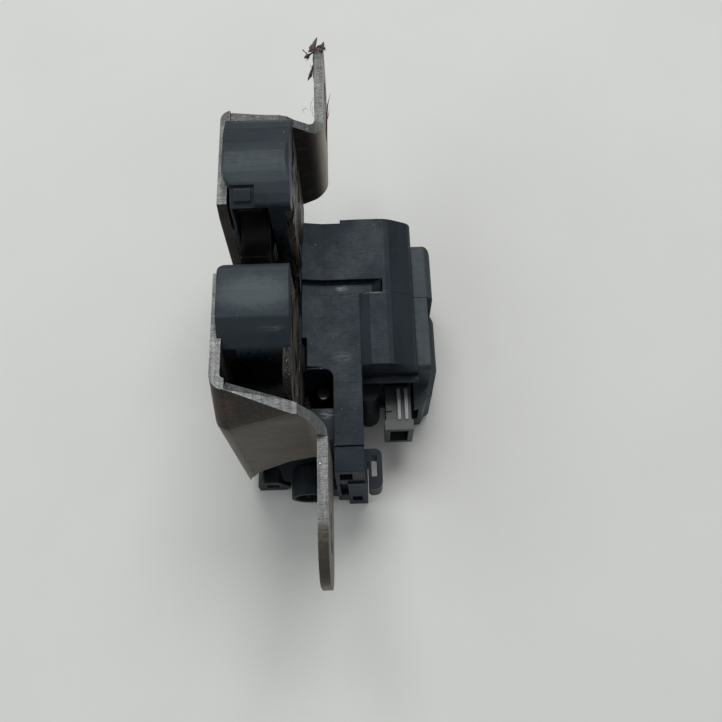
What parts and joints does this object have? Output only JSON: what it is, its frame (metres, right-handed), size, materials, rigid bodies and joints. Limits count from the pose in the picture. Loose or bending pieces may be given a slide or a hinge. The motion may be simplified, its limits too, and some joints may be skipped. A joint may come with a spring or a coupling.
{
  "type": "tailgate latch",
  "caption": "Power tailgate latch: a fork claw and pawl between two steel plates with fixing ears, a moulded striker mouth and a worm-gear motor drive behind.",
  "frame": {"origin": "middle of the bounding box's base, on the table the latch stands on", "axes": "+Z the way the striker leaves the mouth, +X from the riveted base plate to the motor drive, +Y towards the upper ear, so the ears' hole line runs along Y"},
  "size_m": [0.047, 0.1248, 0.0611],
  "materials": {
    "base_steel": "worn, scratched, cut edges brighter",
    "plate_steel": "worn",
    "works_steel": "phosphated, greased",
    "rivet_steel": "satin",
    "spring_steel": "satin",
    "screw_steel": "satin",
    "motor_steel": "satin",
    "housing_plastic": "matt, fine scratches",
    "cover_plastic": "matt, lightly scuffed",
    "base_plastic": "matt",
    "connector_plastic": "matt",
    "jacket_plastic": "satin",
    "rubber": "matt",
    "brass": "satin",
    "nylon": "satin",
    "red_plastic": "satin"
  },
  "bodies": {
    "latch": {"frame_plate": "base_steel", "back_plate": "plate_steel", "latch_housing": "housing_plastic", "mouth_buffer": "rubber", "claw_rivet": "rivet_steel", "claw_spring": "spring_steel", "pawl_rivet": "rivet_steel", "pawl_spring": "spring_steel", "actuator_cover": "cover_plastic", "actuator_base": "base_plastic", "arm_cap": "cover_plastic", "side_cover": "base_plastic", "clip_loop": "base_plastic", "guide_pin": "rivet_steel", "motor": "motor_steel", "motor_end_cap": "base_plastic", "wheel_axle": "rivet_steel", "microswitch": "base_plastic", "connector_socket": "connector_plastic", "connector_pins": "brass", "base_screws": "screw_steel"},
    "claw": {"claw": "works_steel", "claw_jacket": "jacket_plastic"},
    "pawl": {"pawl": "works_steel"},
    "worm_wheel": {"worm_wheel": "nylon"},
    "worm": {"worm": "brass"},
    "plunger": {"switch_plunger": "red_plastic"}
  },
  "joints": [
    {"name": "claw_turn", "type": "hinge", "parent": "latch", "child": "claw", "pos_m": [-0.0161, 0.0175, 0.038], "axis": [1, 0, 0], "range_deg": [0, 62], "stiffness_Nm_per_rad": 0.02, "springref_deg": -45.84},
    {"name": "worm_turn", "type": "hinge", "parent": "latch", "child": "worm", "pos_m": [0.0053, -0.005, 0.019], "axis": [0, 1, 0], "range_deg": [-1440, 0]},
    {"name": "wheel_turn", "type": "hinge", "parent": "latch", "child": "worm_wheel", "pos_m": [0.0053, -0.005, 0.00965], "axis": [1, 0, 0], "range_deg": [-72, 0]},
    {"name": "pawl_turn", "type": "hinge", "parent": "latch", "child": "pawl", "pos_m": [-0.0161, -0.0125, 0.031], "axis": [1, 0, 0], "range_deg": [0, 9]},
    {"name": "plunger_slide", "type": "slide", "parent": "latch", "child": "plunger", "axis": [0, 0, -1], "range_m": [0, 0.0009], "stiffness_N_per_m": 20, "springref_m": -0.0005}
  ],
  "couplings": [
    {"joint": "worm_turn", "follows": "pawl_turn", "ratio": -160},
    {"joint": "wheel_turn", "follows": "pawl_turn", "ratio": -8}
  ]
}
